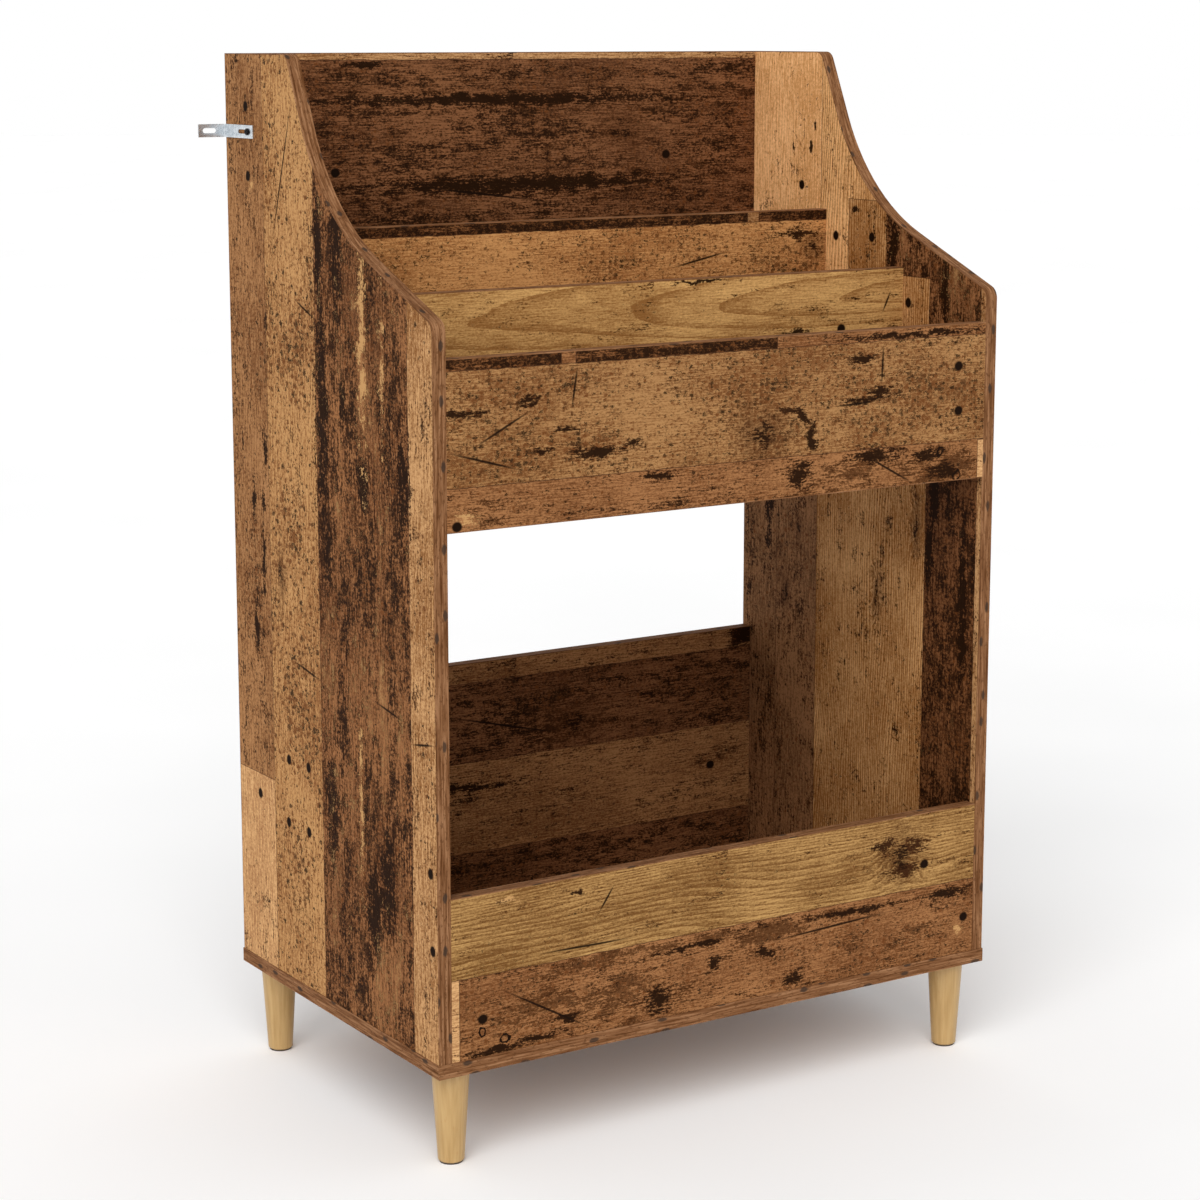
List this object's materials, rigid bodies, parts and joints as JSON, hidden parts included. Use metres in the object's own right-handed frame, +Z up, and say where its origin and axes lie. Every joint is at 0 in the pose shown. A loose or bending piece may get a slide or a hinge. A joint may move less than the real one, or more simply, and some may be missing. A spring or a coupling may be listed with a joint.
{
  "type": "media shelf",
  "caption": "Free-standing media shelf: stepped face-out bins above an open lower bin, between swept sides on a base with tapered legs, tied to a wall by bent brackets.",
  "frame": {"origin": "on the floor under the middle of the base", "axes": "+Z up, -Y to the front of the shelf, +X to the right of someone facing its front"},
  "size_m": [0.774, 0.455, 1.1225],
  "materials": {
    "old_wood_board": "printed old-wood paper on chipboard, satin",
    "edge_band": "printed edge band, satin",
    "leg_wood": "turned and clear lacquered",
    "glide": "moulded, dark",
    "dowel_wood": "raw beech",
    "cam_zinc": "die cast, dull",
    "bracket_steel": "bright zinc plated strip",
    "fitting_steel": "zinc plated"
  },
  "bodies": {
    "root": {"base_back_band": "edge_band", "base_front_band": "edge_band", "base_left_band": "edge_band", "base_panel": "old_wood_board", "base_right_band": "edge_band", "bracket_screws": "fitting_steel", "cam_bolts": "fitting_steel", "cam_locks": "cam_zinc", "confirmat_screws": "fitting_steel", "front_bin_floor": "old_wood_board", "front_left_glide": "glide", "front_left_leg": "leg_wood", "front_right_glide": "glide", "front_right_leg": "leg_wood", "left_side_back_band": "edge_band", "left_side_contour_band": "edge_band", "left_side_panel": "old_wood_board", "left_wall_bracket": "bracket_steel", "leg_hanger_bolts": "fitting_steel", "leg_insert_nuts": "fitting_steel", "lower_back_panel": "old_wood_board", "lower_back_panel_top_band": "edge_band", "lower_front_panel": "old_wood_board", "lower_front_panel_top_band": "edge_band", "middle_bin_floor": "old_wood_board", "middle_divider": "old_wood_board", "middle_divider_bottom_band": "edge_band", "middle_divider_top_band": "edge_band", "rear_bin_floor": "old_wood_board", "rear_divider": "old_wood_board", "rear_divider_bottom_band": "edge_band", "rear_divider_top_band": "edge_band", "rear_left_glide": "glide", "rear_left_leg": "leg_wood", "rear_right_glide": "glide", "rear_right_leg": "leg_wood", "right_side_back_band": "edge_band", "right_side_contour_band": "edge_band", "right_side_panel": "old_wood_board", "right_wall_bracket": "bracket_steel", "upper_back_panel": "old_wood_board", "upper_back_panel_bottom_band": "edge_band", "upper_back_panel_top_band": "edge_band", "upper_front_panel": "old_wood_board", "upper_front_panel_bottom_band": "edge_band", "upper_front_panel_top_band": "edge_band", "wood_dowels": "dowel_wood"}
  },
  "joints": []
}
